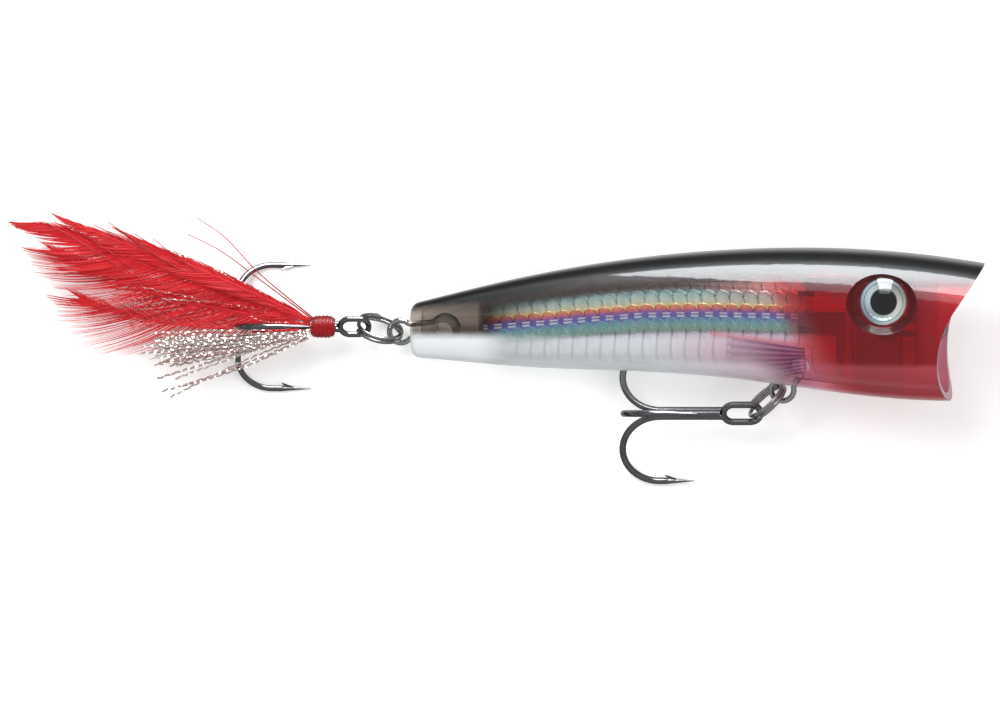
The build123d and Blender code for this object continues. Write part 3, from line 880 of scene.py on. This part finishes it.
def make_wrap():
    """Winds the thread; returns the back end, where the feathers are tied in."""
    low, high = (np.array(corner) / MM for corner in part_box("thread_wrap"))
    middle = (low + high) / 2
    half = np.array(((high[0] - low[0]) / 2, 0, 0))
    front, back = middle + half, middle - half
    along = back - front
    length = np.linalg.norm(along)
    along = along / length
    side = np.array((0.0, 1.0, 0.0))
    up = np.cross(side, along)
    strands = Strands()
    for extra, turns in WRAP_LAYERS:
        count = int(abs(turns) * WRAP_STEPS)
        path = []
        for i in range(count + 1):
            t = i / count
            angle = 2 * pi * turns * t
            belly = WRAP_RADIUS + WRAP_SWELL * sin(pi * t) ** 0.55 + 0.04 * sin(9.0 * t) + extra
            spot = front + along * (WRAP_INSET + t * (length - 2 * WRAP_INSET))
            path.append(spot + belly * (cos(angle) * side + sin(angle) * up))
        strands.add(tube(path, THREAD_RADIUS, 7), 0.5)
    # the lacquered core under the turns
    core = []
    radii = []
    for i in range(CORE_POINTS):
        t = i / (CORE_POINTS - 1)
        core.append(front + along * (CORE_INSET + t * (length - 2 * CORE_INSET)))
        swell = 0.53 + WRAP_SWELL * sin(pi * t) ** 0.55
        radii.append(0.3 + swell * min(1.0, 6 * t, 6 * (1 - t)))
    strands.add(tube(core, radii, 40), 0.5)
    piece = strands.piece("thread_windings", "red_thread")
    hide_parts("thread_wrap")
    return back


# ---------------- feathers

UP = np.array((0.0, 0.0, 1.0))
BARB_POINTS = 9
SHAFT_POINTS = 60
FIRST_BARB = 0.03   # place along the shaft, as a share of it
BARB_SPAN = 0.965
SHORT_BARBS = 0.06  # share of barbs with broken tips
FLOOR_GAP = 0.25    # least height of feathers over the table
STRAND_GAP = 0.2    # and of hairs and flash

# shaft points from the tie (row mm), barb lengths and angles to the belly and back
# sides, seed, spacing of the barbs, and how strongly a clump's barbs share its tip;
# for an open fringe also how much the barbs shorten and close up to the tip, and widths
HACKLES = {
    "upper_hackle": dict(
        shaft=[(0, 0.5, 1.2), (-11.5, 4.6, 2.4), (-23.0, 8.6, 2.3), (-31.0, 11.9, 2.0), (-37.0, 12.9, 1.9)],
        lengths=(9.5, 4.6), angles=(33, 16), seed=3, step=0.15, hold=(0.3, 0.8),
    ),
    "spike_hackle": dict(
        shaft=[(0, 0.7, 1.5), (-12.0, 5.9, 3.0), (-22.0, 9.9, 3.0), (-28.0, 12.2, 2.6), (-31.8, 13.9, 2.4)],
        lengths=(5.2, 3.2), angles=(22, 15), seed=5, step=0.17, hold=(0.3, 0.8),
    ),
    "back_hackle": dict(
        shaft=[(0, 0.9, 1.5), (-9.0, 5.0, 3.3), (-17.0, 8.6, 3.2), (-24.4, 12.3, 3.0)],
        lengths=(6.5, 3.6), angles=(22, 15), seed=8, step=0.2, hold=(0.3, 0.9),
    ),
    "middle_hackle": dict(
        shaft=[(0, 0.2, 1.0), (-9.5, 1.9, 1.7), (-19.0, 4.0, 1.4), (-26.5, 6.9, 0.8), (-32.0, 9.4, 0.4)],
        lengths=(12.0, 6.0), angles=(34, 24), seed=12, step=0.2, hold=(0.0, 0.4),
        taper=0.62, closing=0.55, widths=(0.1, 0.135),
    ),
    "lower_hackle": dict(
        shaft=[(0, -0.5, 0.8), (-9.5, -0.3, 1.2), (-17.5, 0.4, 0.8), (-24.5, 2.0, 0.2), (-28.5, 3.5, 0.0)],
        lengths=(11.0, 6.0), angles=(32, 24), seed=17, step=0.22, hold=(0.0, 0.35),
        taper=0.62, closing=0.55, widths=(0.1, 0.135),
    ),
    "under_hackle": dict(
        shaft=[(0, 0.0, -1.0), (-10.0, 1.8, -1.9), (-20.0, 5.0, -2.4), (-31.0, 9.6, -2.8)],
        lengths=(9.0, 6.0), angles=(28, 22), seed=21, step=0.3, hold=(0.5, 0.98),
    ),
}
HACKLE_NODES = ("upper_hackle", "middle_hackle", "lower_hackle", "under_hackle")


def barb_length(t, side, taper):
    """Share of the full barb length at t along the shaft; the belly side starts shorter,
    and taper is the share that is lost at the tip."""
    fill = 0.14 + 0.86 * min(1.0, t / 0.5) if side == 0 else 0.45 + 0.55 * min(1.0, t / 0.3)
    return fill * (1 - taper * max(0.0, (t - 0.45) / 0.55))


def barb(path, tangents, t, side, length, start_angle, end_angle, sag):
    """Points along one barb that leaves the shaft at t, and the way across the shaft."""
    k = min(int(t * (len(path) - 1)), len(path) - 2)
    part = t * (len(path) - 1) - k
    along = tangents[k]
    across = np.cross(UP, along)
    across *= (1 if side == 0 else -1) / np.linalg.norm(across)
    points = [path[k] * (1 - part) + path[k + 1] * part]
    step = length / (BARB_POINTS - 1)
    for j in range(1, BARB_POINTS):
        angle = start_angle + (end_angle - start_angle) * j / (BARB_POINTS - 1)
        heading = along * cos(angle) + across * sin(angle)
        points.append(points[-1] + step * (heading - UP * sag))
    return np.array(points), across


def make_hackle(
    name, tie, shaft, lengths, angles, seed, step, hold, taper=0.97, closing=0.75, widths=(0.14, 0.19)
):
    """A feather of separate barbs on a curved shaft."""
    rng = random.Random(seed)
    path = curve_through([tie + np.array(p) for p in shaft], SHAFT_POINTS)
    tangents = directions(path)
    total = np.linalg.norm(np.diff(path, axis=0), axis=1).sum()
    strands = Strands()
    strands.add(tube(path, np.linspace(0.16, 0.03, SHAFT_POINTS), 6), 0.85)
    fractions = np.linspace(0, 1, BARB_POINTS)
    for side in (0, 1):
        count = int(total / step)
        i = 0
        while i < count:
            # barbs cling together in clumps that share a tip
            clump = min(rng.choice((3, 4, 4, 5, 6)), count - i)
            middle = FIRST_BARB + BARB_SPAN * (i + clump / 2) / count
            middle = min(middle, 0.995)
            spread = angles[side] * (1 - closing * max(0.0, middle - 0.5) / 0.5)
            length = lengths[side] * barb_length(middle, side, taper) * rng.uniform(0.88, 1.08)
            start = radians(spread + 6)
            end = radians(spread * 0.62 + rng.uniform(-2.2, 2.2))
            sag = rng.uniform(-0.03, 0.05)
            lead = barb(path, tangents, middle, side, length, start, end, sag)[0]
            for j in range(clump):
                t = FIRST_BARB + BARB_SPAN * (i + j + rng.uniform(-0.3, 0.3)) / count
                t = max(min(t, 0.998), 0.0)
                own_length = length * rng.uniform(0.9, 1.03)
                if rng.random() < SHORT_BARBS:
                    own_length *= rng.uniform(0.5, 0.8)
                lean = radians(rng.uniform(-1.5, 1.5))
                points, across = barb(path, tangents, t, side, own_length, start + lean, end, sag)
                pull = rng.uniform(*hold)
                points = points + (lead[-1] - points[-1]) * (pull * fractions**2)[:, None]
                points[:, 2] = np.maximum(points[:, 2], FLOOR_GAP)
                width = rng.uniform(*widths) * (1 - 0.86 * fractions**1.3)
                normals = np.tile(UP + across * rng.uniform(-0.6, 0.6), (BARB_POINTS, 1))
                shade = min(max(rng.gauss(0.5, 0.2), 0), 1)
                strands.add(ribbon(points, width, normals), shade)
            i += clump
    piece = strands.piece(name + "_feather", "red_hackle")
    if name in HACKLE_NODES:
        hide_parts(name)


# ---------------- flash and hairs

CRIMP = 0.5  # from one fold of the tinsel to the next


def crimped(path, width, rng):
    """A thin strip of tinsel that flips to and fro along its length."""
    normals = []
    phase = rng.uniform(0, 2 * pi)
    for i, along in enumerate(directions(path)):
        across = np.cross(UP, along)
        across /= np.linalg.norm(across)
        lean = 0.95 * sin(phase + i * pi / 2.0 + 0.35 * sin(i * 0.7))
        normals.append(UP * cos(lean) + across * sin(lean))
    widths = width * (0.75 + 0.35 * np.abs(np.sin(phase + np.arange(len(path)) * pi / 2.0)))
    return ribbon(path, widths, np.array(normals))


def make_flash(name, tie, tips, root_spread, count, seed, sag, widths, node=None):
    """Strands of crinkled tinsel fanned between tip points, in row mm from the tie."""
    rng = random.Random(seed)
    strands = Strands()
    tips = [np.array(p, float) for p in tips]
    for i in range(count):
        pick = rng.random() * (len(tips) - 1)
        k = int(pick)
        tip = tips[k] * (1 - pick + k) + tips[k + 1] * (pick - k)
        tip = tip * rng.uniform(0.86, 1.04)
        tip = tip + np.array((rng.gauss(0, 0.5), rng.gauss(0, 0.35), rng.gauss(0, 0.3)))
        root = np.array((0.0, rng.uniform(*root_spread), rng.uniform(0.3, 1.0)))
        middle = (root + tip) / 2 + np.array((0, rng.gauss(0, 0.3) + sag, rng.uniform(0.2, 0.8)))
        length = np.linalg.norm(tip - root)
        steps = max(12, int(length / CRIMP * 2))
        path = curve_through([tie + root, tie + middle, tie + tip], steps)
        for j in range(steps):
            path[j] += (0, 0.07 * sin(j * 1.3 + i), 0.09 * sin(j * 1.9 + 2 * i))
        path[:, 2] = np.maximum(path[:, 2], STRAND_GAP)
        strands.add(crimped(path, rng.uniform(*widths), rng), rng.random())
    piece = strands.piece(name, "silver_flash")
    if node:
        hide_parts(node)


HAIR_POINTS = 40
# points of each loose hair, in row mm from the tie
HAIRS = [
    [(0.4, 1.0, 1.2), (-6.0, 6.3, 4.0), (-10.5, 11.0, 4.6), (-14.0, 13.4, 4.4)],
    [(0.4, 0.8, 1.3), (-6.5, 6.0, 3.6), (-11.0, 9.3, 4.2), (-15.1, 11.4, 4.0)],
    [(0.0, -1.2, 0.8), (-6.0, -1.9, 0.6), (-12.0, -2.2, 0.2), (-16.5, -2.6, 0.1)],
    [(-24.0, 7.6, 2.6), (-27.0, 9.6, 2.9), (-30.0, 11.4, 2.9), (-33.0, 13.0, 2.6)],
    [(-22.0, 7.2, 2.6), (-25.0, 9.4, 2.9), (-28.0, 11.4, 2.9), (-31.6, 12.9, 2.7)],
    [(-17.0, 7.4, 3.2), (-20.0, 9.3, 3.4), (-23.4, 11.0, 3.3), (-26.6, 12.5, 3.0)],
    [(-16.0, 7.0, 3.2), (-19.0, 8.8, 3.5), (-22.0, 10.9, 3.3), (-24.9, 12.9, 3.1)],
    [(-13.0, 6.2, 3.2), (-15.0, 7.6, 3.5), (-17.4, 9.3, 3.4), (-19.3, 10.8, 3.2)],
    [(-16.0, 7.9, 3.2), (-18.0, 9.3, 3.3), (-20.0, 10.4, 3.2), (-21.6, 11.4, 3.1)],
]


def make_hairs(tie):
    strands = Strands()
    for points in HAIRS:
        path = curve_through([tie + np.array(p) for p in points], HAIR_POINTS)
        path[:, 2] = np.maximum(path[:, 2], STRAND_GAP)
        strands.add(tube(path, np.linspace(0.09, 0.045, HAIR_POINTS), 6), 0.3)
    strands.piece("loose_hairs", "red_hackle")


# ---------------- camera, lights, table

VIEW_CENTRE = (0.51, -0.52)
VIEW_WIDTH = 123.0
VIEW_HEIGHT = 8.0  # of the plane that is VIEW_WIDTH wide
LENS = 500.0
SENSOR = 36.0


def make_camera():
    camera = add_object("camera", bpy.data.cameras.new("camera"))
    camera.data.lens = LENS
    camera.data.sensor_width = SENSOR
    camera.data.clip_end = 20.0
    camera.data.clip_start = 0.05
    distance = VIEW_WIDTH * LENS / SENSOR + VIEW_HEIGHT
    camera.location = (VIEW_CENTRE[0] * MM, VIEW_CENTRE[1] * MM, distance * MM)
    bpy.context.scene.camera = camera


def area_light(name, place, size, power):
    """A soft square light aimed at the lure and hidden from reflections."""
    data = bpy.data.lights.new(name, "AREA")
    data.size = size
    data.energy = power
    light = add_object(name, data)
    light.location = place
    light.rotation_euler = (-Vector(place)).to_track_quat("-Z", "Y").to_euler()
    light.visible_camera = False
    light.visible_glossy = False


def make_table():
    reach = 3.0
    cells = 24
    ticks = [-reach + 2 * reach * i / cells for i in range(cells + 1)]
    points = [(x, y, 0.0) for x in ticks for y in ticks]
    paper = Shader("table_paper").set(
        Base_Color=(0.88, 0.88, 0.88, 1), Roughness=0.9, Specular_IOR_Level=0.1,
        Emission_Color=(1, 1, 1, 1), Emission_Strength=0.3,
    )
    table = add_mesh("table", points, grid_faces(cells + 1, cells + 1), paper)
    table.visible_glossy = False


def make_world():
    """Pale overhead and straight below with dark bands between, for metal to mirror."""
    s = Shader("studio", "worlds", "Background")
    height = s.split(s.node("TexCoord").outputs["Generated"])["Z"]
    # brightness from straight below (0) over the horizon (0.5) to straight above (1)
    stops = [(0.0, 0.55), (0.1, 0.35), (0.18, 0.07), (0.36, 0.07), (0.42, 0.4), (0.5, 0.4)]
    stops += [(0.515, 0.14), (0.62, 0.16), (0.8, 0.34), (0.95, 0.3)]
    # very slightly blue
    stops = [(place, (value, value * 1.01, value * 1.02, 1)) for place, value in stops]
    sky = s.ramp(s.plus(s.times(height, 0.5), 0.5), stops)
    bpy.context.scene.world = s.set(Color=sky, Strength=1.0)


def glossy_panel(name, x_span, bottom, top, strength, fade):
    """A bright panel behind the lure, seen only in reflections; bottom and top are (y, z),
    and fade is the top's brightness over the bottom's."""
    steps = 12
    points = []
    values = []
    for i in range(steps + 1):
        t = i / steps
        y, z = (a + (b - a) * t for a, b in zip(bottom, top))
        points += [(x, y, z) for x in x_span]
        values += [1 - (1 - fade) * t**1.2] * 2
    s = Shader(name + "_light")
    glow = s.times(s.attribute("glow"), strength)
    lamp = s.node("Emission", {"Color": (0.93, 0.97, 1.0, 1.0), "Strength": glow})
    panel = add_mesh(name, points, grid_faces(steps + 1, 2), s.finish(lamp.outputs[0]))
    put_values(panel, "glow", values)
    panel.visible_camera = False
    panel.visible_diffuse = False
    panel.visible_shadow = False
    panel.visible_transmission = False


def make_lights():
    area_light("key", (-0.45, 0.55, 0.9), 0.6, 9.5)
    area_light("fill", (0.5, -0.3, 0.9), 0.9, 5.2)
    glossy_panel("back_panel", (-0.12, 0.17), (0.42, 0.006), (0.35, 0.4), 9.8, 1.3)
    glossy_panel("window_panel", (-0.17, 0.17), (0.35, 0.41), (0.3, 0.62), 2.4, 0.9)


# ---------------- scene

make_camera()
make_world()
make_table()
make_lights()
bpy.context.scene.view_settings.view_transform = "Standard"

finish_cad_nodes()
for flank, sign in (("right", 1), ("left", -1)):
    make_foil(flank, sign)
    make_iris(flank, sign)

tie_point = make_wrap() + np.array((0.1, 0, 0))
for hackle, sizes in HACKLES.items():
    make_hackle(hackle, tie_point, **sizes)
make_flash(
    "lower_flash_strands", tie_point,
    [(-19.4, -1.2, 1.9), (-19.3, -2.6, 1.6), (-18.8, -4.0, 1.1), (-17.6, -4.9, 0.8)],
    root_spread=(-1.15, -0.3), count=50, seed=31, sag=-0.3, widths=(0.16, 0.26), node="lower_flash",
)
make_flash(
    "stray_flash_strands", tie_point,
    [(-18.6, -6.7, 0.4), (-18.8, -7.9, 0.2), (-17.0, -10.3, -0.4)],
    root_spread=(-1.3, -0.8), count=5, seed=36, sag=-0.1, widths=(0.24, 0.34),
)
make_flash(
    "upper_flash_strands", tie_point,
    [(-17.5, 9.9, 2.9), (-19.0, 8.2, 2.7), (-20.5, 5.8, 2.2), (-20.0, 3.2, 1.8)],
    root_spread=(0.2, 1.0), count=9, seed=41, sag=0.5, widths=(0.12, 0.17), node="upper_flash",
)
make_hairs(tie_point)
